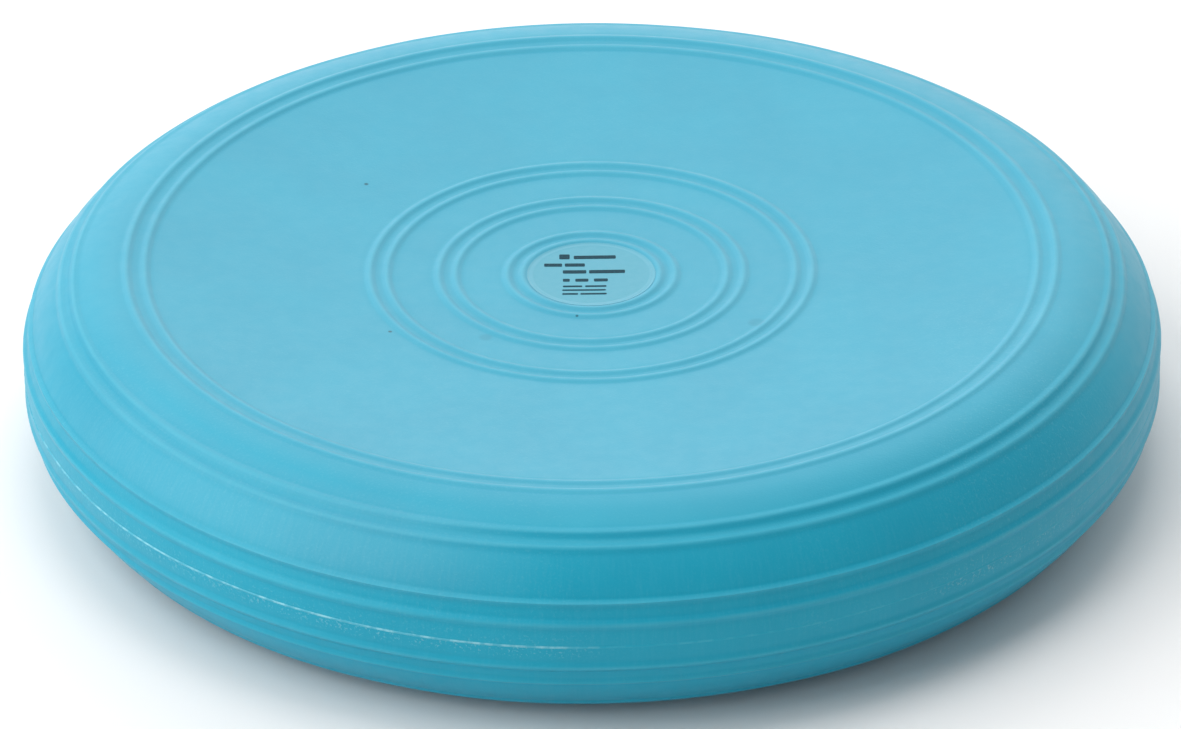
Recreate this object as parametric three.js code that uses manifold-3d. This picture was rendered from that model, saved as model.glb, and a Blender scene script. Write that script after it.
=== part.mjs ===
// An inflatable wobble cushion: a hollow PVC disc, 330 mm across, dished on both faces.
// Millimetres, +Z up. The origin is the middle of the disc where it stands on the floor.
// The shell is one moulding. It is cut here into an underside, a rim band and a top, because
// these tilt against each other when the air inside is pushed aside.
import * as THREE from 'three';
import { mergeVertices } from 'three/addons/utils/BufferGeometryUtils.js';
import Module from 'manifold-3d';

// Shell
const DIAMETER = 330;
const HEIGHT = 63;
const WALL = 4;
const PARTING_RIDGE = 0.3; // flash left by the mould, all round the equator
const RIM_CENTRE_R = 135.5; // the side wall is a half ellipse around this circle
const DISH_DEPTH = 8.6; // the middle of each face lies this far inside its highest ring
const REST_RING_INNER_R = 129;
const REST_RING_OUTER_R = 139;
const DISH_CLEARANCE = 5; // the dish's curve ends this far inside the rest ring
const LABEL_FLAT_R = 21; // the very middle, level enough to print on
const WALL_TOP_SHARE = 0.985; // the wall's curve starts at this share of its full rise
const RIDGE_HALF_WIDTH = 0.4;
const BAND_HALF = 9.5; // the rim band reaches this far above and below the equator
const GAP = 0.3; // between touching pieces
const SEGMENTS = 72;
const OUTER_STEPS = { dish: 4, wall: 7 };
const INNER_STEPS = { dish: 3, wall: 5 };

// Printed film in the middle of the top
const LABEL_R = 18.6;
const LABEL_THICKNESS = 0.3;

// Needle valve, through the rim band at the back
const HOUSING_R = 4.2;
const HOUSING_OUTER_Y = 163.6;
const HOUSING_INNER_Y = 150;
const COLLAR_R = 8;
const COLLAR_Y = 159;
const COLLAR_THICKNESS = 1.8;
const CORE_STEM_R = 1.6;
const CORE_HEAD_R = 3.6;
const CORE_HEAD_THICKNESS = 1.1;
const CORE_BULB_R = 2.6;
const CORE_BULB_LENGTH = 4;
const NEEDLE_R = 0.5;
const FUNNEL_R = 1.2; // the needle hole's mouth
const VALVE_DRILL_LENGTH = 20;
const VALVE_SEGMENTS = 24;

const EQUATOR_Z = HEIGHT / 2;
const RIM_REACH = DIAMETER / 2 - PARTING_RIDGE - RIM_CENTRE_R;
const RIM_RISE = HEIGHT / 2;
const MERGE_REACH = 1e-4; // points closer than this are one point

const dull = (color, roughness) => new THREE.MeshStandardMaterial({ color, roughness, metalness: 0 });
const shellPvc = dull(0x4fbcd8, 0.5);
const labelFilm = dull(0x8ccbdc, 0.4);
const valveRubber = dull(0x0f7f9d, 0.6);
const coreRubber = dull(0x2a2f33, 0.6);

// Height above the equator of a face's skin at radius r, from the middle to the rest ring.
function dishHeight(r) {
  return RIM_RISE - DISH_DEPTH * (1 - (r / REST_RING_INNER_R) ** 2);
}

// Point of the side wall, inset from its outer face, at a height above the equator.
function rimPoint(height, inset) {
  const rise = RIM_RISE - inset;
  const angle = Math.asin(height / rise);
  return new THREE.Vector2(RIM_CENTRE_R + (RIM_REACH - inset) * Math.cos(angle), height);
}

// Points from the middle of a face to the edge of the rim band, inset from the outer face.
function facePoints(inset, steps) {
  const points = [];
  const flatR = LABEL_FLAT_R;
  points.push(new THREE.Vector2(0, dishHeight(flatR) - inset));
  const dishEndR = REST_RING_INNER_R - DISH_CLEARANCE;
  for (let i = 0; i <= steps.dish; i++) {
    const r = flatR + (dishEndR - flatR) * (i / steps.dish);
    points.push(new THREE.Vector2(r, dishHeight(r) - inset));
  }
  points.push(new THREE.Vector2(REST_RING_INNER_R, RIM_RISE - inset));
  points.push(new THREE.Vector2(REST_RING_OUTER_R, RIM_RISE - inset));
  const edge = BAND_HALF + GAP / 2;
  const highest = WALL_TOP_SHARE * (RIM_RISE - inset);
  const first = Math.asin(highest / (RIM_RISE - inset));
  const last = Math.asin(edge / (RIM_RISE - inset));
  for (let i = 0; i <= steps.wall; i++) {
    const angle = first + (last - first) * (i / steps.wall);
    points.push(rimPoint((RIM_RISE - inset) * Math.sin(angle), inset));
  }
  return points;
}

// Turns a profile of (radius, height) points round the Z axis.
function turned(points, segments) {
  return new THREE.LatheGeometry(points, segments).rotateX(Math.PI / 2);
}

function mesh(name, geometry, material) {
  const made = new THREE.Mesh(geometry, material);
  made.name = name;
  return made;
}

// Half of the shell as an open bowl. side is +1 for the top and -1 for the underside.
function faceShell(name, side) {
  const outside = facePoints(0, OUTER_STEPS);
  const inside = facePoints(WALL, INNER_STEPS).reverse();
  const loop = [...outside, ...inside].map((p) => new THREE.Vector2(p.x, side * p.y));
  if (side > 0) loop.reverse();
  const shell = mesh(name, turned(loop, SEGMENTS), shellPvc);
  shell.position.z = EQUATOR_Z;
  return shell;
}

const wasm = await Module();
wasm.setup();

function solidOf(geometry) {
  const bare = geometry.clone();
  bare.deleteAttribute('normal');
  bare.deleteAttribute('uv');
  const merged = mergeVertices(bare, MERGE_REACH);
  return new wasm.Manifold(new wasm.Mesh({
    numProp: 3,
    vertProperties: merged.attributes.position.array,
    triVerts: new Uint32Array(merged.index.array),
  }));
}

function geometryOf(solid) {
  const made = solid.getMesh();
  const geometry = new THREE.BufferGeometry();
  geometry.setAttribute('position', new THREE.BufferAttribute(made.vertProperties, 3));
  geometry.setIndex(new THREE.BufferAttribute(made.triVerts, 1));
  geometry.computeVertexNormals();
  return geometry;
}

// The side wall between the two faces, with the parting ridge and the hole for the valve.
function rimBand() {
  const edge = BAND_HALF - GAP / 2;
  const heights = [-edge, -edge / 2, -RIDGE_HALF_WIDTH];
  const lower = heights.map((h) => rimPoint(h, 0));
  const upper = heights.map((h) => rimPoint(-h, 0)).reverse();
  const crest = new THREE.Vector2(DIAMETER / 2, 0);
  const inner = [edge, 0, -edge].map((h) => rimPoint(h, WALL));
  const ring = [...lower, crest, ...upper, ...inner, lower[0].clone()];
  const holeR = HOUSING_R + GAP;
  const drill = new THREE.CylinderGeometry(holeR, holeR, VALVE_DRILL_LENGTH, VALVE_SEGMENTS);
  drill.translate(0, DIAMETER / 2 - WALL / 2, 0);
  const band = solidOf(turned(ring, SEGMENTS)).subtract(solidOf(drill));
  const made = mesh('rim_band', geometryOf(band), shellPvc);
  made.position.z = EQUATOR_Z;
  return made;
}

// Turns a closed loop of [radius, y] points round the valve's own axis, which runs along Y.
function valvePiece(name, loop, material) {
  const points = [...loop, loop[0]].map(([r, y]) => new THREE.Vector2(r, y));
  const piece = mesh(name, new THREE.LatheGeometry(points, VALVE_SEGMENTS), material);
  piece.position.z = EQUATOR_Z;
  return piece;
}

// Tube through the wall with a collar that seals against its inner face.
function valveHousing() {
  const bore = CORE_STEM_R + GAP;
  return valvePiece('valve_housing', [
    [bore, HOUSING_INNER_Y],
    [HOUSING_R, HOUSING_INNER_Y],
    [HOUSING_R, COLLAR_Y - COLLAR_THICKNESS],
    [COLLAR_R, COLLAR_Y - COLLAR_THICKNESS],
    [COLLAR_R, COLLAR_Y],
    [HOUSING_R, COLLAR_Y],
    [HOUSING_R, HOUSING_OUTER_Y],
    [bore, HOUSING_OUTER_Y],
  ], valveRubber);
}

// Soft plug in the housing: a flat head outside, a bulb inside, and the needle's way through.
function valveCore() {
  const headY = HOUSING_OUTER_Y + GAP;
  const bulbY = HOUSING_INNER_Y - GAP;
  return valvePiece('valve_core', [
    [NEEDLE_R, bulbY - CORE_BULB_LENGTH],
    [CORE_STEM_R, bulbY - CORE_BULB_LENGTH],
    [CORE_BULB_R, bulbY - CORE_BULB_LENGTH / 2],
    [CORE_BULB_R, bulbY],
    [CORE_STEM_R, bulbY],
    [CORE_STEM_R, headY],
    [CORE_HEAD_R, headY],
    [CORE_HEAD_R, headY + CORE_HEAD_THICKNESS / 2],
    [FUNNEL_R, headY + CORE_HEAD_THICKNESS],
    [NEEDLE_R, headY + CORE_HEAD_THICKNESS / 2],
  ], coreRubber);
}

// Thin printed disc that lies on the level middle of the top.
function printedLabel() {
  const profile = [
    new THREE.Vector2(0, 0),
    new THREE.Vector2(LABEL_R, 0),
    new THREE.Vector2(LABEL_R, LABEL_THICKNESS),
    new THREE.Vector2(0, LABEL_THICKNESS),
  ];
  const label = mesh('label_film', turned(profile, SEGMENTS), labelFilm);
  label.position.z = EQUATOR_Z + dishHeight(LABEL_FLAT_R) + GAP;
  return label;
}

const cushion = new THREE.Group();
cushion.add(faceShell('lower_shell', -1));
cushion.add(rimBand());
cushion.add(faceShell('upper_shell', 1));
cushion.add(printedLabel());
cushion.add(valveHousing());
cushion.add(valveCore());

export default cushion;
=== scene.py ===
"""Looks for the wobble cushion: detailed skins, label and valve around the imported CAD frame.

Lengths named in this file are millimetres in the frame's own axes, and MM turns them into metres.
"""

import math

import bpy
import numpy as np
from mathutils import Matrix, Vector


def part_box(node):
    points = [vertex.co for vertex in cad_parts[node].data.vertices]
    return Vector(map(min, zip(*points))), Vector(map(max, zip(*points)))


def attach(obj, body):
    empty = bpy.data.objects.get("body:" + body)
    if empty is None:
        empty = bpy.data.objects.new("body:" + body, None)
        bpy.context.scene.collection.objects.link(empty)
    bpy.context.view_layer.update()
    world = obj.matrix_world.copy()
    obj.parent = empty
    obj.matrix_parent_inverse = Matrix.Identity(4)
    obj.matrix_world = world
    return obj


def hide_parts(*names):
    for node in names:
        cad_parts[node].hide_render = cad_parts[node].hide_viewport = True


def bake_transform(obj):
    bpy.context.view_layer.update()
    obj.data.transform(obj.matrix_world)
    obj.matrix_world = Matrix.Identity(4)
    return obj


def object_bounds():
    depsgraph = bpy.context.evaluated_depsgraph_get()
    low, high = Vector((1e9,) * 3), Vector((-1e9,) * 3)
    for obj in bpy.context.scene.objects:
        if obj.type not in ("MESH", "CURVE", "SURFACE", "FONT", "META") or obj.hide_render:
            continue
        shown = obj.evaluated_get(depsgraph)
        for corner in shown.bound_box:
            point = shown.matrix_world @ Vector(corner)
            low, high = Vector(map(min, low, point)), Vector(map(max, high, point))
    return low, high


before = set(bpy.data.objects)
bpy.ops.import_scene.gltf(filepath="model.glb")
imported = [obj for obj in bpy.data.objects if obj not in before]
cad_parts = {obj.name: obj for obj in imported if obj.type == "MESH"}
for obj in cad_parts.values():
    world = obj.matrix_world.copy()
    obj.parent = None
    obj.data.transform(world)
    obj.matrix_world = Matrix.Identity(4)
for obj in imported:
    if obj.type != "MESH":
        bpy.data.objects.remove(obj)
cad_low, cad_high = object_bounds()

MM = 0.001

# ---------------------------------------------------------------- what the frame gives

RADIUS = (cad_high.x - cad_low.x) / 2 / MM
EQUATOR_Z = (cad_high.z + cad_low.z) / 2 / MM

label_low, label_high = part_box("label_film")
LABEL_R = (label_high.x - label_low.x) / 2 / MM

housing_low, housing_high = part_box("valve_housing")
core_low, core_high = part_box("valve_core")
HOUSING_FACE_Y = housing_high.y / MM
HOUSING_INNER_Y = housing_low.y / MM
FLANGE_R = (housing_high.z - housing_low.z) / 2 / MM
CORE_TIP_Y = core_high.y / MM
CORE_INNER_Y = core_low.y / MM
CORE_HEAD_R = (core_high.z - core_low.z) / 2 / MM

# ---------------------------------------------------------------- the shape's own numbers

BEAD_HEIGHT = 0.6
BEAD_HALF_WIDTH = 2.0
RIM_BEAD_RISE = 0.9
CRISP_HALF_WIDTH = 1.35  # for the upper rim bead, which is narrower than the others
RELIEF_SPREAD = 0.9  # how wide the painted highlight on a crest and the painted shade in a groove are
GROOVE_MARK = 0.6  # a groove's mark as a share of a crest's
FLASH_HEIGHT = 0.35
WALL = 4.0
RIM_CENTRE_R = 135.5  # the side wall is a half ellipse round this circle
RIM_REACH = RADIUS - FLASH_HEIGHT - RIM_CENTRE_R
RIM_RISE = EQUATOR_Z - BEAD_HEIGHT
DISH_DEPTH = 7.8
DISH_EDGE_R = 132.0

# Slow waves of a soft moulding: height, waves per turn, phase, and change of phase along the skin
WAVES = (
    (0.07, 3, 0.8, 0.0),
    (0.05, 5, 2.1, 0.02),
    (0.04, 11, 0.0, 0.05),
    (0.03, 17, 0.0, -0.04),
)
WAVES_START = 30  # the waves fade in over this stretch of the skin
WAVES_END = 90

# Moulded beads come in pairs: the radius of a pair's middle, and half its spacing on the skin.
FACE_PAIRS = ((22.1, 2.25), (41.7, 2.45), (61.5, 2.45), (131.3, 2.7), (151.4, 2.35))
RIM_BEAD_HEIGHTS = (12.4, 6.7)  # the last pair, by height over the equator

# The pit that the valve sits in, and the low moulded collar round it
PIT_R = 4.5
PIT_EDGE = 0.8
PIT_BELOW_FACE = 0.5
COLLAR_INNER_R = 5.4
COLLAR_OUTER_R = 8.0
COLLAR_EDGE = 1.0
COLLAR_RISE = 0.8
FACING_BACK = 0.9  # only points whose angle has a sine over this can be part of the pit or collar

# The valve's own parts, where the frame's boxes don't give them. The flange is inside the wall.
HOUSING_R = 4.2
HOUSING_BORE_R = 1.75
FLANGE_BACK_Y = 157.2
FLANGE_FRONT_Y = 159.0
CORE_STEM_R = 1.6
CORE_HEAD_THICKNESS = 1.1
CORE_BULB_R = 2.6
NEEDLE_R = 0.5
NEEDLE_DEPTH = 3.0

# The label's film and print, over the skin that they lie on
FILM_RISE = 0.1
FILM_LIP = 0.05
FILM_LIP_WIDTH = 1.6
FILM_SINK = 0.06
INK_RISE = 0.04
INK_SINK = 0.05

# Burrs on the flash
BURR_SEED = 11
BURR_WIDTH = 5  # in steps of the flash
FLASH_TAPER = 0.05  # radians over which an end runs out
FLASH_WEAR = 0.7
FLASH_WEAR_ANGLE = -0.9  # radians from +X, at the front right

STREAK_SHRINK = 0.1  # streaks down the side are about ten times as long as they are wide

# Mesh steps
DISH_SAMPLES = 400
WALL_SAMPLES = 500
FLASH_STEPS = 1400
FILM_TURNS = 160
LATHE_TURNS = 64
TURNS = 340
VALVE_TURNS = 64
VALVE_ARC = math.radians(4.2)
FINE_STEP = 0.5
COARSE_STEP = 3.6
INNER_STEP = 9.0
VALVE_BAND = 9.5


# ---------------------------------------------------------------- camera, lights and floor

LENS = 209.3
CAMERA_DISTANCE = 2.0  # metres
CAMERA_AZIMUTH = -90.0
CAMERA_ELEVATION = 30.1
CAMERA_ROLL = -0.65  # degrees
CAMERA_TARGET = (-0.49, 0.0, EQUATOR_Z - 7.0)
STUDIO_REACH = 2.2  # metres from the piece to each softbox
FLOOR_REACH = 2.5  # metres
FLOOR_COLOUR = (0.8, 0.8, 0.8, 1.0)

# The room's light: where its fade starts and ends by the sine of elevation, and its strengths
ROOM_FADE = (0.02, 0.16, 0.95, 0.40)

# Each softbox: name, azimuth, elevation, half width and half height in degrees, radiance
SOFTBOXES = (
    ("left_box", 198.0, 36.0, 28.0, 32.0, 2.5),
    ("back_box", 88.0, 35.0, 48.0, 30.0, 1.37),
    ("top_box", 90.0, 88.0, 14.0, 14.0, 3.6),
)


def aim(thing, place, target, roll=0.0):
    """Puts a camera or lamp at a place, looking at the target."""
    back = (Vector(place) - Vector(target)).normalized()
    turn = back.to_track_quat("Z", "Y").to_matrix().to_4x4()
    thing.matrix_world = Matrix.Translation(place) @ turn @ Matrix.Rotation(roll, 4, "Z")


def direction(azimuth, elevation):
    """Unit vector towards an azimuth from +X and an elevation, both in degrees."""
    a, e = math.radians(azimuth), math.radians(elevation)
    return Vector((math.cos(e) * math.cos(a), math.cos(e) * math.sin(a), math.sin(e)))


def link(thing):
    bpy.context.scene.collection.objects.link(thing)
    return thing


def make_camera():
    data = bpy.data.cameras.new("camera")
    data.lens = LENS
    data.sensor_width = 36.0
    data.clip_end = 50.0
    camera = link(bpy.data.objects.new("camera", data))
    target = Vector(CAMERA_TARGET) * MM
    place = target + direction(CAMERA_AZIMUTH, CAMERA_ELEVATION) * CAMERA_DISTANCE
    aim(camera, place, target, math.radians(CAMERA_ROLL))
    bpy.context.scene.camera = camera


def softbox(name, azimuth, elevation, half_width, half_height, radiance):
    """A rectangular softbox at STUDIO_REACH, its half sizes given as angles from the piece."""
    width = 2 * STUDIO_REACH * math.tan(math.radians(half_width))
    height = 2 * STUDIO_REACH * math.tan(math.radians(half_height))
    data = bpy.data.lights.new(name, "AREA")
    data.shape = "RECTANGLE"
    data.size = width
    data.size_y = height
    data.energy = radiance * math.pi * width * height
    lamp = link(bpy.data.objects.new(name, data))
    centre = Vector((0.0, 0.0, EQUATOR_Z * MM))
    aim(lamp, centre + direction(azimuth, elevation) * STUDIO_REACH, centre)


def make_world():
    """A white room: bright at and below the horizon, dimmer overhead."""
    world = bpy.data.worlds.new("studio")
    bpy.context.scene.world = world
    world.use_nodes = True
    nodes, links = world.node_tree.nodes, world.node_tree.links
    towards = nodes.new("ShaderNodeTexCoord")
    axes = nodes.new("ShaderNodeSeparateXYZ")
    fade = nodes.new("ShaderNodeMapRange")
    fade.interpolation_type = "SMOOTHSTEP"
    for socket, number in zip(list(fade.inputs)[1:5], ROOM_FADE):
        socket.default_value = number
    background = nodes["Background"]
    background.inputs["Color"].default_value = (1.0, 1.0, 1.0, 1.0)
    links.new(towards.outputs["Generated"], axes.inputs[0])
    links.new(axes.outputs["Z"], fade.inputs["Value"])
    links.new(fade.outputs["Result"], background.inputs["Strength"])


def make_floor():
    """A round pale floor."""
    angles = np.linspace(0, 2 * math.pi, 128, endpoint=False)
    corners = [(FLOOR_REACH * math.cos(a), FLOOR_REACH * math.sin(a), 0.0) for a in angles]
    mesh = bpy.data.meshes.new("floor")
    mesh.from_pydata(corners, [], [list(range(len(corners)))])
    floor = link(bpy.data.objects.new("floor", mesh))
    pale = bpy.data.materials.new("pale_floor")
    pale.use_nodes = True
    shader = pale.node_tree.nodes["Principled BSDF"]
    shader.inputs["Base Color"].default_value = FLOOR_COLOUR
    shader.inputs["Roughness"].default_value = 0.9
    mesh.materials.append(pale)


make_camera()
make_world()
make_floor()
for box in SOFTBOXES:
    softbox(*box)
bpy.context.scene.view_settings.view_transform = "Standard"


# ---------------------------------------------------------------- the skin's form

def smooth(t):
    """0 below 0 and 1 above 1, with a soft step between."""
    t = np.clip(t, 0, 1)
    return t * t * (3 - 2 * t)


def rim_height(r):
    """Height over the equator of the side wall without its beads."""
    return RIM_RISE * np.sqrt(1 - ((r - RIM_CENTRE_R) / RIM_REACH) ** 2)


def rim_radius(height):
    """Radius of the side wall without its beads."""
    return RIM_CENTRE_R + RIM_REACH * np.sqrt(1 - (height / RIM_RISE) ** 2)


def dish_height(r):
    """Height over the equator of the dished face without its beads."""
    return rim_height(DISH_EDGE_R) - DISH_DEPTH * (1 - (r / DISH_EDGE_R) ** 2)


def plain_outline():
    """The skin without its beads, from the middle of a face to the equator."""
    dish_r = np.linspace(0, DISH_EDGE_R, DISH_SAMPLES)
    start = math.acos((DISH_EDGE_R - RIM_CENTRE_R) / RIM_REACH)
    curve = np.linspace(start, 0, WALL_SAMPLES)[1:]
    wall_r = RIM_CENTRE_R + RIM_REACH * np.cos(curve)
    wall_h = RIM_RISE * np.sin(curve)
    r = np.concatenate([dish_r, wall_r])
    height = np.concatenate([dish_height(dish_r), wall_h])
    return r, height


outline_r, outline_h = plain_outline()
outline_s = np.cumsum([0.0, *np.hypot(np.diff(outline_r), np.diff(outline_h))])
SKIN_LENGTH = outline_s[-1]


def s_at_radius(r):
    """Length along the skin from the middle of a face to a radius."""
    return np.interp(r, outline_r, outline_s)


def bead_list():
    """Each bead's place along the skin from the middle of the face, half width and height."""
    beads = []
    for r, half_spacing in FACE_PAIRS:
        middle = s_at_radius(r)
        beads.append((middle - half_spacing, BEAD_HALF_WIDTH, BEAD_HEIGHT))
        beads.append((middle + half_spacing, BEAD_HALF_WIDTH, BEAD_HEIGHT))
    upper, lower = (s_at_radius(rim_radius(height)) for height in RIM_BEAD_HEIGHTS)
    beads.append((upper, CRISP_HALF_WIDTH, RIM_BEAD_RISE))
    beads.append((lower, BEAD_HALF_WIDTH, RIM_BEAD_RISE))
    return beads


BEADS = bead_list()


def bead_rise(s):
    """How far the beads lift the skin at length s."""
    rise = np.zeros_like(s)
    for place, half_width, height in BEADS:
        off = np.clip(np.abs(s - place) / half_width, 0, 1)
        rise = rise + height * (0.5 + 0.5 * np.cos(np.pi * off))
    return rise


def relief(s):
    """1 on the beads' crests and below 0 in the grooves beside them."""
    mark = np.zeros_like(s)
    for place, half_width, _ in BEADS:
        off = np.abs(s - place)
        mark = mark + np.exp(-((off / RELIEF_SPREAD) ** 2))
        mark = mark - GROOVE_MARK * np.exp(-(((off - half_width) / RELIEF_SPREAD) ** 2))
    return mark


def skin_steps():
    """Where the skin gets its rings of points: close together over beads and at the valve."""
    reach = BEAD_HALF_WIDTH + FINE_STEP
    steps = list(np.arange(COARSE_STEP, SKIN_LENGTH, COARSE_STEP))
    for place, _, _ in BEADS:
        steps = [s for s in steps if abs(s - place) > reach]
    for place, _, _ in BEADS:
        steps += [place + off for off in np.arange(-reach, reach + FINE_STEP / 2, FINE_STEP)]
    steps += list(np.arange(SKIN_LENGTH - VALVE_BAND, SKIN_LENGTH, FINE_STEP))
    kept = []
    for s in sorted(steps):
        clear = not kept or s - kept[-1] > FINE_STEP * 0.6
        if clear and s < SKIN_LENGTH - FINE_STEP / 2:
            kept.append(s)
    return np.array([*kept, SKIN_LENGTH])


def turn_angles():
    """Angles round the axis, close together at the valve, which faces +Y."""
    behind = math.pi / 2
    coarse = np.linspace(behind + VALVE_ARC, behind - VALVE_ARC + 2 * math.pi, TURNS)
    fine = np.linspace(behind - VALVE_ARC, behind + VALVE_ARC, VALVE_TURNS + 1)[1:-1]
    return np.concatenate([coarse, fine + 2 * math.pi])


def valve_form(off):
    """How far the skin stands out at a distance from the valve's axis."""
    depth = RADIUS - FLASH_HEIGHT - HOUSING_FACE_Y + PIT_BELOW_FACE
    pit = -depth * (1 - smooth((off - PIT_R) / PIT_EDGE))
    up = smooth((off - COLLAR_INNER_R) / COLLAR_EDGE)
    down = 1 - smooth((off - COLLAR_OUTER_R) / COLLAR_EDGE)
    return pit + COLLAR_RISE * up * down


def unevenness(angle, s):
    """How far the moulding's slow waves lift the skin."""
    lift = 0.0
    for height, count, phase, change in WAVES:
        lift = lift + height * np.sin(count * angle + phase + s * change)
    return lift * smooth((s - WAVES_START) / (WAVES_END - WAVES_START))


# ---------------------------------------------------------------- meshes

def new_piece(name, points, faces, sharp_angle=50.0):
    """A smooth-shaded piece from points in millimetres, with edges kept over sharp_angle."""
    mesh = bpy.data.meshes.new(name)
    mesh.from_pydata((np.asarray(points, float) * MM).tolist(), [], faces)
    mesh.validate()
    mesh.shade_smooth()
    mesh.set_sharp_from_angle(angle=math.radians(sharp_angle))
    keep_places(mesh)
    return link(bpy.data.objects.new(name, mesh))


def keep_places(mesh):
    """Keeps each point's place at rest, so that patterns stay put when the skin bends.

    rest_place is the place itself. rest_streak is wrapped round the piece and shortened along
    the skin's slope, which draws a noise out into streaks.
    """
    flat = np.empty(len(mesh.vertices) * 3, np.float32)
    mesh.vertices.foreach_get("co", flat)
    places = flat.reshape(-1, 3) / MM
    angle = np.arctan2(places[:, 1], places[:, 0])
    r = np.hypot(places[:, 0], places[:, 1])
    slope = (places[:, 2] - r) * STREAK_SHRINK
    streaks = np.stack([RADIUS * np.cos(angle), RADIUS * np.sin(angle), slope], -1)
    for name, values in (("rest_place", places), ("rest_streak", streaks)):
        attribute = mesh.attributes.new(name, "FLOAT_VECTOR", "POINT")
        attribute.data.foreach_set("vector", values.astype(np.float32).ravel())


def quads_between(rings, turns, wrap_rings=False, wrap_turns=True):
    """Quads joining rings of points that are numbered one ring after another."""
    ring = np.arange(rings if wrap_rings else rings - 1)[:, None]
    turn = np.arange(turns if wrap_turns else turns - 1)[None, :]
    next_ring = (ring + 1) % rings
    next_turn = (turn + 1) % turns
    corners = (
        ring * turns + turn,
        next_ring * turns + turn,
        next_ring * turns + next_turn,
        ring * turns + next_turn,
    )
    return np.stack(corners, -1).reshape(-1, 4).tolist()


def fan(tip, first, turns):
    """Triangles from a middle point to a ring."""
    return [[tip, first + j, first + (j + 1) % turns] for j in range(turns)]


def flipped(faces):
    return [face[::-1] for face in faces]


def turned_faces(rings, turns):
    """Faces of a closed body: its rings, and after them the middle points of its two ends."""
    faces = quads_between(rings, turns)
    faces += flipped(fan(rings * turns, 0, turns))
    faces += fan(rings * turns + 1, (rings - 1) * turns, turns)
    return faces


def outer_skin(angles):
    """Radius and height of the outer skin over the equator, a row for each ring of points."""
    s = skin_steps()
    lift_r = np.interp(s, outline_s, -np.gradient(outline_h, outline_s))
    lift_h = np.interp(s, outline_s, np.gradient(outline_r, outline_s))
    size = np.hypot(lift_r, lift_h)
    r = np.interp(s, outline_s, outline_r)[:, None]
    height = np.interp(s, outline_s, outline_h)[:, None]
    rise = bead_rise(s)[:, None] + unevenness(angles[None, :], s[:, None])
    at_valve = (np.sin(angles)[None, :] > FACING_BACK) & (r > RIM_CENTRE_R)
    rise = rise + np.where(at_valve, valve_form(np.hypot(r * np.cos(angles), height)), 0.0)
    return r + (lift_r / size)[:, None] * rise, height + (lift_h / size)[:, None] * rise


def inner_skin():
    """Radius and height of the plain inside of the wall, from the equator to the middle."""
    s = np.arange(SKIN_LENGTH, INNER_STEP / 2, -INNER_STEP)
    r = np.interp(s, outline_s, outline_r)
    height = np.interp(s, outline_s, outline_h)
    on_rim = r > RIM_CENTRE_R
    thin_r = RIM_CENTRE_R + (r - RIM_CENTRE_R) * (1 - WALL / RIM_REACH)
    thin_h = np.where(on_rim, height * (1 - WALL / RIM_RISE), height - WALL)
    return np.where(on_rim, thin_r, r), thin_h


def half_skin(name, side):
    """Half of the shell as a closed body: side is 1 for the upper half and -1 for the lower."""
    angles = turn_angles()
    turns = len(angles)
    outer_r, outer_h = outer_skin(angles)
    inner_r, inner_h = (row[:, None] * np.ones((1, turns)) for row in inner_skin())
    r = np.concatenate([outer_r, inner_r])
    height = np.concatenate([outer_h, inner_h])
    z = EQUATOR_Z + side * height
    points = np.stack([r * np.cos(angles), r * np.sin(angles), z], -1).reshape(-1, 3)
    middle = dish_height(0)
    tips = [[0, 0, EQUATOR_Z + side * middle], [0, 0, EQUATOR_Z + side * (middle - WALL)]]
    faces = turned_faces(len(r), turns)
    if side < 0:
        faces = flipped(faces)
    piece = new_piece(name, np.concatenate([points, tips]), faces)
    marks_on_rings = np.concatenate([relief(skin_steps()), np.zeros(len(inner_r))])
    marks_on_points = np.concatenate([np.repeat(marks_on_rings, turns), [0.0, 0.0]])
    attribute = piece.data.attributes.new("relief", "FLOAT", "POINT")
    attribute.data.foreach_set("value", marks_on_points.astype(np.float32))
    return piece


def lathe(name, profile):
    """Turns a closed (radius, y) profile about the valve's axis."""
    angles = np.linspace(0, 2 * math.pi, LATHE_TURNS, endpoint=False)
    rows = np.array(profile, float)
    r, y = rows[:, :1], rows[:, 1:]
    x = r * np.cos(angles)
    z = EQUATOR_Z + r * np.sin(angles)
    points = np.stack([x, y + 0 * angles, z], -1).reshape(-1, 3)
    faces = quads_between(len(rows), LATHE_TURNS, wrap_rings=True)
    return new_piece(name, points, faces, 40.0)


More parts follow.
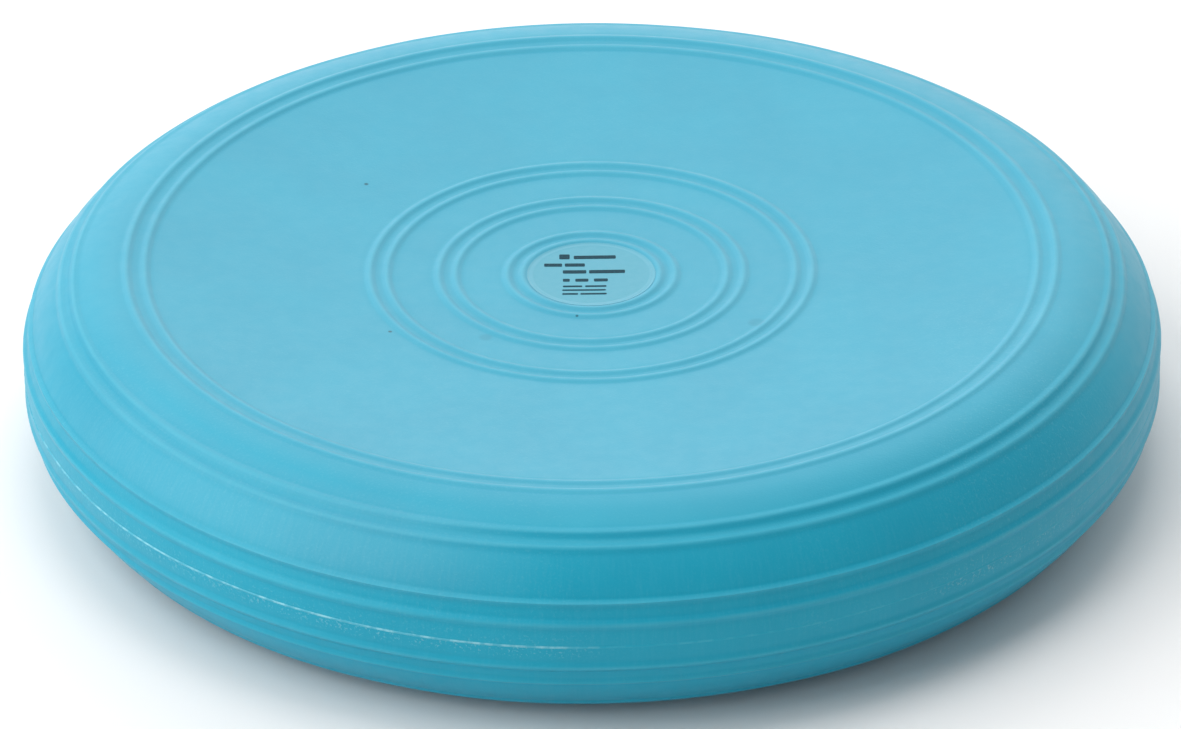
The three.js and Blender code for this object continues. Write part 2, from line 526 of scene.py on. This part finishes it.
def make_flash():
    """The thin ridge that the mould's parting left, with its burrs. It stops at the valve."""
    gap = math.asin((COLLAR_OUTER_R + COLLAR_EDGE) / RADIUS)
    angles = np.linspace(math.pi / 2 + gap, math.pi * 2.5 - gap, FLASH_STEPS)
    chance = np.random.default_rng(BURR_SEED).random(FLASH_STEPS)
    kernel = np.hanning(BURR_WIDTH)
    rough = np.convolve(chance, kernel / kernel.sum(), "same")
    slow = 0.5 + 0.3 * np.sin(7 * angles + 1.0) + 0.2 * np.sin(19 * angles)
    share = 0.35 + 0.35 * rough + 0.3 * slow  # part steady, part burrs and part slow swells
    first_end = smooth((angles - angles[0]) / FLASH_TAPER)
    taper = first_end * smooth((angles[-1] - angles) / FLASH_TAPER)
    worn = 1 - FLASH_WEAR * smooth(np.cos(angles - FLASH_WEAR_ANGLE))
    height = FLASH_HEIGHT * share / share.max() * taper * worn
    drift = 0.1 * np.sin(2 * angles) + 0.08 * np.sin(9 * angles + 2.0)  # up and down
    base = RADIUS - FLASH_HEIGHT + unevenness(angles, SKIN_LENGTH)
    # Each row: how deep the point sinks into the skin, its place across, its share of the height
    section = (
        (-0.5, -0.40, 0.0),
        (0.0, -0.34, 0.0),
        (0.0, -0.12, 0.75),
        (0.0, 0.0, 1.0),
        (0.0, 0.12, 0.75),
        (0.0, 0.34, 0.0),
        (-0.5, 0.40, 0.0),
    )
    rings = []
    for sink, across, share_of_height in section:
        r = base + sink + height * share_of_height
        z = EQUATOR_Z + across + drift
        rings.append(np.stack([r * np.cos(angles), r * np.sin(angles), z], -1))
    faces = quads_between(len(section), FLASH_STEPS, wrap_rings=True, wrap_turns=False)
    starts = [ring * FLASH_STEPS for ring in range(len(section))]
    faces += [starts, [start + FLASH_STEPS - 1 for start in starts][::-1]]
    return new_piece("seam_flash", np.concatenate(rings), flipped(faces))


def skin_height(r):
    """Height of the upper skin in the frame, beads and all, near the middle."""
    return EQUATOR_Z + dish_height(r) + bead_rise(s_at_radius(r))


def make_film():
    """The printed label's clear disc: it follows the skin and has a slightly raised edge."""
    lip_r = LABEL_R - FILM_LIP_WIDTH
    radii = np.concatenate([
        np.linspace(2.0, lip_r - 0.6, 8),
        np.arange(lip_r - 0.4, LABEL_R - 0.15, 0.2),
        [LABEL_R - 0.1, LABEL_R - 0.03],
    ])
    top = skin_height(radii) + FILM_RISE + FILM_LIP * smooth((radii - lip_r + 0.3) / 0.5)
    top[-1] -= 0.05
    under_r = np.array([LABEL_R, LABEL_R - 0.2, 2.0])
    under = skin_height(under_r) - FILM_SINK
    r = np.concatenate([radii, under_r])[:, None]
    z = np.concatenate([top, under])[:, None]
    angles = np.linspace(0, 2 * math.pi, FILM_TURNS, endpoint=False)
    points = np.stack([r * np.cos(angles), r * np.sin(angles), z + 0 * angles], -1).reshape(-1, 3)
    tips = [[0, 0, skin_height(0.0) + FILM_RISE], [0, 0, skin_height(0.0) - FILM_SINK]]
    faces = turned_faces(len(r), FILM_TURNS)
    return new_piece("label_disc", np.concatenate([points, tips]), faces)


# Plain bars standing in for the print: (left, right, bottom, top) on the label.
MARKS = (
    (-9.2, -6.2, 9.2, 12.0),
    (-5.0, 7.2, 9.3, 11.2),
    (-13.6, -8.4, 4.9, 6.7),
    (-7.6, -1.8, 4.9, 6.7),
    (-8.2, -1.4, 0.8, 2.7),
    (-0.6, 9.8, 0.8, 2.7),
    (-8.2, -6.2, -4.0, -2.3),
    (-4.6, -0.8, -4.0, -2.3),
    (0.8, 4.8, -4.0, -2.3),
    (-8.2, -2.6, -7.2, -6.3),
    (-1.8, 4.4, -7.2, -6.3),
    (-8.4, 4.2, -9.4, -8.6),
    (-8.4, -3.8, -11.7, -10.8),
    (-3.2, 4.4, -11.7, -10.8),
)
MARK_CORNER = 0.35


def make_marks():
    """The label's bars as thin slips with rounded corners, joined in one mesh."""
    points, faces = [], []
    corner_turns = np.linspace(0, math.pi / 2, 4)
    for left, right, bottom, top in MARKS:
        outline = []
        corners = (
            (right, top, -1, -1),
            (left, top, 1, -1),
            (left, bottom, 1, 1),
            (right, bottom, -1, 1),
        )
        for quarter, (x, y, in_x, in_y) in enumerate(corners):
            for turn in corner_turns + quarter * math.pi / 2:
                px = x + MARK_CORNER * (in_x + math.cos(turn))
                py = y + MARK_CORNER * (in_y + math.sin(turn))
                outline.append((px, py))
        count = len(outline)
        first = len(points)
        for rise in (FILM_RISE - INK_SINK, FILM_RISE + INK_RISE):
            points += [(x, y, skin_height(math.hypot(x, y)) + rise) for x, y in outline]
        faces.append([first + j for j in range(count)][::-1])
        faces.append([first + count + j for j in range(count)])
        for j in range(count):
            k = (j + 1) % count
            faces.append([first + j, first + k, first + count + k, first + count + j])
    return new_piece("label_marks", points, faces, 30.0)


def make_housing():
    """The valve's rubber tube, with the flange that holds it inside the wall."""
    face, inner = HOUSING_FACE_Y, HOUSING_INNER_Y
    return lathe("valve_tube", (
        (HOUSING_BORE_R, inner),
        (HOUSING_R - 0.3, inner),
        (HOUSING_R, inner + 0.3),
        (HOUSING_R, FLANGE_BACK_Y),
        (FLANGE_R - 0.3, FLANGE_BACK_Y),
        (FLANGE_R, FLANGE_BACK_Y + 0.3),
        (FLANGE_R, FLANGE_FRONT_Y - 0.3),
        (FLANGE_R - 0.3, FLANGE_FRONT_Y),
        (HOUSING_R, FLANGE_FRONT_Y),
        (HOUSING_R, face - 0.5),
        (HOUSING_R - 0.12, face - 0.16),
        (HOUSING_R - 0.45, face),
        (HOUSING_BORE_R + 0.3, face),
        (HOUSING_BORE_R, face - 0.3),
    ))


def make_core():
    """The valve's plug: a domed head with a needle hole, a stem, and a bulb that seals."""
    tip, inner = CORE_TIP_Y, CORE_INNER_Y
    under = tip - CORE_HEAD_THICKNESS
    return lathe("valve_plug", (
        (0.01, tip - NEEDLE_DEPTH),
        (0.01, inner),
        (CORE_BULB_R - 1.2, inner + 0.3),
        (CORE_BULB_R, inner + 1.6),
        (CORE_BULB_R - 0.2, inner + 2.6),
        (CORE_STEM_R, inner + 4.0),
        (CORE_STEM_R, under),
        (CORE_HEAD_R - 0.4, under),
        (CORE_HEAD_R - 0.08, under + 0.15),
        (CORE_HEAD_R, under + 0.4),
        (CORE_HEAD_R - 0.12, tip - 0.35),
        (CORE_HEAD_R - 0.5, tip - 0.1),
        (CORE_HEAD_R - 1.1, tip),
        (NEEDLE_R + 1.2, tip - 0.04),
        (NEEDLE_R + 0.5, tip - 0.2),
        (NEEDLE_R, tip - 0.5),
        (NEEDLE_R, tip - NEEDLE_DEPTH),
    ))


upper_skin = half_skin("upper_skin", 1)
lower_skin = half_skin("lower_skin", -1)
flash = make_flash()
film = make_film()
marks = make_marks()
housing = make_housing()
core = make_core()


# ---------------------------------------------------------------- materials

class Recipe:
    """Builds one material's nodes, a line for each step."""

    def __init__(self, name):
        self.material = bpy.data.materials.new(name)
        self.material.use_nodes = True
        self.tree = self.material.node_tree
        self.shader = self.tree.nodes["Principled BSDF"]

    def put(self, socket, value):
        if isinstance(value, bpy.types.NodeSocket):
            self.tree.links.new(value, socket)
        else:
            socket.default_value = value

    def place(self, name="rest_place"):
        node = self.tree.nodes.new("ShaderNodeAttribute")
        node.attribute_name = name
        return node.outputs["Vector"]

    def number(self, name):
        node = self.tree.nodes.new("ShaderNodeAttribute")
        node.attribute_name = name
        return node.outputs["Fac"]

    def noise(self, place, size, detail=2.0, roughness=0.5):
        node = self.tree.nodes.new("ShaderNodeTexNoise")
        self.put(node.inputs["Vector"], place)
        node.inputs["Scale"].default_value = 1 / size
        node.inputs["Detail"].default_value = detail
        node.inputs["Roughness"].default_value = roughness
        return node.outputs["Fac"]

    def math(self, operation, first, second=0.0):
        node = self.tree.nodes.new("ShaderNodeMath")
        node.operation = operation
        self.put(node.inputs[0], first)
        self.put(node.inputs[1], second)
        return node.outputs["Value"]

    def fit(self, value, low, high, new_low=0.0, new_high=1.0):
        """Maps low..high to new_low..new_high with soft ends."""
        node = self.tree.nodes.new("ShaderNodeMapRange")
        node.interpolation_type = "SMOOTHSTEP"
        self.put(node.inputs["Value"], value)
        for socket, number in zip(list(node.inputs)[1:5], (low, high, new_low, new_high)):
            socket.default_value = number
        return node.outputs["Result"]

    def axes(self, place):
        node = self.tree.nodes.new("ShaderNodeSeparateXYZ")
        self.put(node.inputs[0], place)
        return list(node.outputs)

    def near(self, place, centre, radius):
        """1 at a point and 0 beyond a radius from it."""
        node = self.tree.nodes.new("ShaderNodeVectorMath")
        node.operation = "DISTANCE"
        self.put(node.inputs[0], place)
        node.inputs[1].default_value = centre
        return self.fit(node.outputs["Value"], radius * 0.4, radius, 1.0, 0.0)

    def spots(self, place, places):
        """1 on any of the spots, which are listed as (x, y, height over the equator), radius."""
        found = 0.0
        for (x, y, height), radius in places:
            spot = self.near(place, (x, y, EQUATOR_Z + height), radius)
            found = self.math("MAXIMUM", found, spot)
        return found

    def from_axis(self, x, y):
        """Distance from the piece's upright axis."""
        squares = self.math("ADD", self.math("MULTIPLY", x, x), self.math("MULTIPLY", y, y))
        return self.math("SQRT", squares)

    def mix(self, share, first, second):
        node = self.tree.nodes.new("ShaderNodeMix")
        node.data_type = "RGBA"
        self.put(node.inputs[0], share)
        for socket, colour in ((node.inputs[6], first), (node.inputs[7], second)):
            self.put(socket, (*colour, 1.0) if isinstance(colour, tuple) else colour)
        return node.outputs[2]

    def bump(self, height, depth, under=None):
        """depth is in millimetres for a height of 1."""
        node = self.tree.nodes.new("ShaderNodeBump")
        node.inputs["Strength"].default_value = 1.0
        node.inputs["Distance"].default_value = depth * MM
        self.put(node.inputs["Height"], height)
        if under is not None:
            self.put(node.inputs["Normal"], under)
        return node.outputs["Normal"]

    def finish(self, colour, roughness, normal, specular=0.5, tint=(1.0, 1.0, 1.0)):
        self.put(self.shader.inputs["Base Color"], colour)
        self.put(self.shader.inputs["Roughness"], roughness)
        self.put(self.shader.inputs["Normal"], normal)
        self.shader.inputs["Specular IOR Level"].default_value = specular
        self.shader.inputs["Specular Tint"].default_value = (*tint, 1.0)
        return self.material


SKIN_COLOUR = (0.0, 0.30, 0.437)
# SKIN_PALE is also the painted highlight on the beads' crests
SKIN_PALE = (0.10, 0.40, 0.52)
SKIN_SCUFF = (0.30, 0.55, 0.62)
# SKIN_DEEP is also the painted shade in the beads' grooves
SKIN_DEEP = (0.0, 0.255, 0.385)
# painted sheen: a pale grey standing in for the lights' reflection on the faces and the front left
PAINTED_SHEEN_COLOUR = (0.36, 0.36, 0.45)
SPECK_COLOUR = (0.0, 0.05, 0.08)
SKIN_SHINE = (0.5, 1.0, 1.0)  # the vinyl's own reflection is bluish too
FLASH_PALE = (0.28, 0.58, 0.66)

# Dirt on the top: (x, y, height over the equator), radius
SPECKS = (
    ((-66.1, 50.7, 25.9), 0.9),
    ((-57.4, -35.0, 24.9), 0.8),
    ((-4.2, -24.8, 23.5), 0.6),
)
SMUDGES = (
    ((46.9, -31.1, 24.3), 3.2),
    ((-30.2, -37.2, 24.0), 2.6),
)


def painted_sheen_share(r, x, y, above, streak):
    """Painted sheen: the two faces paler than the side, and, in streaks, the front left of the
    upper side where the left softbox falls.
    """
    from_axis = r.from_axis(x, y)
    # painted sheen on the front left of the upper side, where the left softbox lights it
    dust_and_sheen = r.math("MULTIPLY", r.fit(x, -60.0, 10.0, 0.115, 0.0), r.fit(y, -90.0, -40.0, 1.0, 0.5))
    dust_and_sheen = r.math("MULTIPLY", dust_and_sheen, r.fit(above, 6.0, 18.0))
    dust_and_sheen = r.math("MULTIPLY", dust_and_sheen, r.fit(from_axis, 138.0, 148.0))
    dust_and_sheen = r.math("MULTIPLY", dust_and_sheen, r.fit(streak, 0.3, 0.7, 0.9, 1.05))
    # the faces painted paler than the side, as a painted sheen
    return r.math("MAXIMUM", r.fit(from_axis, 128.0, 160.0, 0.11, 0.02), dust_and_sheen)


def scuff_share(r, place, x, y, above, mottle):
    """Scuffs along the seam, over the front left and in a patch on the front right."""
    under_seam = r.math("MULTIPLY", r.fit(above, -5.0, -1.5), r.fit(above, 0.0, 0.8, 1.0, 0.15))
    over_seam = r.math("MULTIPLY", r.fit(above, 0.0, 0.8), r.fit(above, 3.0, 5.0, 0.35, 0.0))
    band = r.math("MAXIMUM", under_seam, over_seam)
    front_left = r.fit(x, -20.0, 12.0, 0.65, 0.0)
    front_left = r.math("MULTIPLY", front_left, r.fit(y, -60.0, -20.0, 1.0, 0.3))
    front_right = r.math("MULTIPLY", r.fit(x, 84.0, 104.0), r.fit(x, 132.0, 150.0, 1.0, 0.25))
    front_right = r.math("MULTIPLY", front_right, r.fit(y, -40.0, -10.0, 1.0, 0.0))
    where = r.math("MAXIMUM", front_left, front_right)
    where = r.math("MAXIMUM", where, r.fit(mottle, 0.5, 0.6, 0.0, 0.4))
    flecks = r.fit(r.noise(place, 0.8, 2.0, 0.6), 0.55, 0.7)
    return r.math("MULTIPLY", r.math("MULTIPLY", band, where), flecks)


def painted_bead_light_and_shade(r, place, colour):
    """Painted highlight on the beads' crests, in patches, and painted shade in the grooves beside
    them.
    """
    mark = r.number("relief")
    # rubbed here is the share of painted highlight on the crests
    rubbed = r.fit(r.noise(place, 14.0, 2.0), 0.3, 0.7, 0.6, 1.0)
    rubbed = r.math("MULTIPLY", r.fit(mark, 0.2, 1.0, 0.0, 0.28), rubbed)
    colour = r.mix(rubbed, colour, SKIN_PALE)
    # painted shade in the grooves
    return r.mix(r.fit(mark, -0.6, -0.1, 0.2, 0.0), colour, SKIN_DEEP)


def dirtied(r, place, colour):
    """A few specks of dirt and softer smudges on the top."""
    smudges = r.math("MULTIPLY", r.spots(place, SMUDGES), 0.16)
    colour = r.mix(smudges, colour, SPECK_COLOUR)
    specks = r.math("MULTIPLY", r.spots(place, SPECKS), 0.85)
    return r.mix(specks, colour, SPECK_COLOUR)


def skin_material():
    """Soft blue vinyl: a fine mould grain, faint streaks down the side, signs of use, painted
    sheen, and painted highlight and shade on the beads.
    """
    r = Recipe("shell_pvc")
    place = r.place()
    x, y, z = r.axes(place)
    above = r.math("SUBTRACT", z, EQUATOR_Z)
    on_side = r.fit(r.math("ABSOLUTE", above), 18.0, 29.0, 1.0, 0.0)
    mottle = r.noise(place, 38.0, 3.0)
    grain = r.noise(place, 0.55, 1.0)
    cloud = r.noise(place, 5.0, 3.0)
    streak = r.noise(r.place("rest_streak"), 0.9, 2.0)
    scuff = scuff_share(r, place, x, y, above, mottle)

    colour = r.mix(r.fit(mottle, 0.3, 0.7, 0.35, 0.0), SKIN_COLOUR, SKIN_DEEP)
    colour = r.mix(r.fit(grain, 0.55, 0.75, 0.0, 0.07), colour, SKIN_PALE)
    streaky = r.math("MULTIPLY", on_side, r.fit(streak, 0.45, 0.7, 0.0, 0.05))
    colour = r.mix(streaky, colour, SKIN_PALE)
    # painted sheen on the faces and the front left of the upper side
    colour = r.mix(painted_sheen_share(r, x, y, above, streak), colour, PAINTED_SHEEN_COLOUR)
    # painted highlight on the beads' crests and painted shade in their grooves
    colour = painted_bead_light_and_shade(r, place, colour)
    colour = r.mix(r.math("MULTIPLY", scuff, 0.5), colour, SKIN_SCUFF)
    colour = dirtied(r, place, colour)

    roughness = r.fit(cloud, 0.3, 0.7, 0.40, 0.46)
    roughness = r.math("ADD", roughness, r.math("MULTIPLY", scuff, 0.25))
    normal = r.bump(grain, 0.035)
    normal = r.bump(cloud, 0.05, normal)
    normal = r.bump(r.math("MULTIPLY", streak, on_side), 0.02, normal)
    normal = r.bump(scuff, 0.12, normal)
    return r.finish(colour, roughness, normal, tint=SKIN_SHINE)


def flash_material():
    """The same vinyl, paler where the thin ridge has been rubbed."""
    r = Recipe("seam_pvc")
    place = r.place()
    rub = r.fit(r.noise(place, 3.0, 3.0), 0.4, 0.66, 0.3, 1.0)
    x, y, _ = r.axes(place)
    left = r.math("MULTIPLY", r.fit(x, -15.0, 8.0, 1.0, 0.0), r.fit(y, -60.0, -20.0, 1.0, 0.4))
    share = r.math("MULTIPLY", rub, r.math("MAXIMUM", r.math("MULTIPLY", left, 0.8), 0.12))
    colour = r.mix(share, SKIN_COLOUR, FLASH_PALE)
    return r.finish(colour, 0.5, r.bump(r.noise(place, 0.5), 0.05), tint=SKIN_SHINE)


def film_material():
    """A thin printed film over the vinyl: greyer, a little shinier, with a painted highlight along
    its edge.
    """
    r = Recipe("label_film")
    place = r.place()
    x, y, _ = r.axes(place)
    # edge is the share of painted highlight along the film's edge
    edge = r.fit(r.from_axis(x, y), LABEL_R - 2.0, LABEL_R - 1.4)
    haze = r.fit(r.noise(place, 2.4, 3.0), 0.3, 0.7)
    colour = r.mix(haze, (0.035, 0.295, 0.40), (0.055, 0.31, 0.415))
    # painted highlight: the ring along the film's edge is painted paler
    colour = r.mix(edge, colour, (0.065, 0.325, 0.435))
    normal = r.bump(r.noise(place, 0.6, 1.0), 0.02)
    return r.finish(colour, r.fit(haze, 0.0, 1.0, 0.34, 0.42), normal)


def ink_material():
    """Dark blue print, worn through in places."""
    r = Recipe("label_ink")
    place = r.place()
    worn = r.fit(r.noise(place, 0.5, 2.0), 0.5, 0.75, 0.0, 0.35)
    colour = r.mix(worn, (0.0, 0.035, 0.055), (0.01, 0.13, 0.18))
    return r.finish(colour, 0.6, r.bump(r.noise(place, 0.3, 1.0), 0.01), 0.15)


def rubber_material(name, colour, dust):
    """Matt rubber with a little pale dust caught in its grain."""
    r = Recipe(name)
    place = r.place()
    grain = r.noise(place, 0.35, 2.0)
    dust_and_sheen = r.fit(r.noise(place, 1.6, 3.0), 0.45, 0.75, 0.0, 0.5)
    normal = r.bump(grain, 0.03)
    return r.finish(r.mix(dust_and_sheen, colour, dust), r.fit(grain, 0.3, 0.7, 0.5, 0.62), normal)


def dress(piece, material):
    piece.data.materials.append(material)


vinyl = skin_material()
dress(upper_skin, vinyl)
dress(lower_skin, vinyl)
dress(flash, flash_material())
dress(film, film_material())
dress(marks, ink_material())
blue_rubber = rubber_material("valve_rubber", (0.0, 0.19, 0.28), (0.08, 0.3, 0.38))
black_rubber = rubber_material("core_rubber", (0.02, 0.022, 0.024), (0.10, 0.11, 0.12))
dress(housing, blue_rubber)
dress(core, black_rubber)


# ---------------------------------------------------------------- joining the pieces to the frame


def bend(piece):
    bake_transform(piece)


bend(lower_skin)
bend(upper_skin)
bend(film)
bend(marks)
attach(flash, "rim")
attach(housing, "rim")
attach(core, "rim")

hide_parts("lower_shell")
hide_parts("upper_shell")
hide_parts("rim_band")
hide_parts("label_film")
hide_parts("valve_housing")
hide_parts("valve_core")
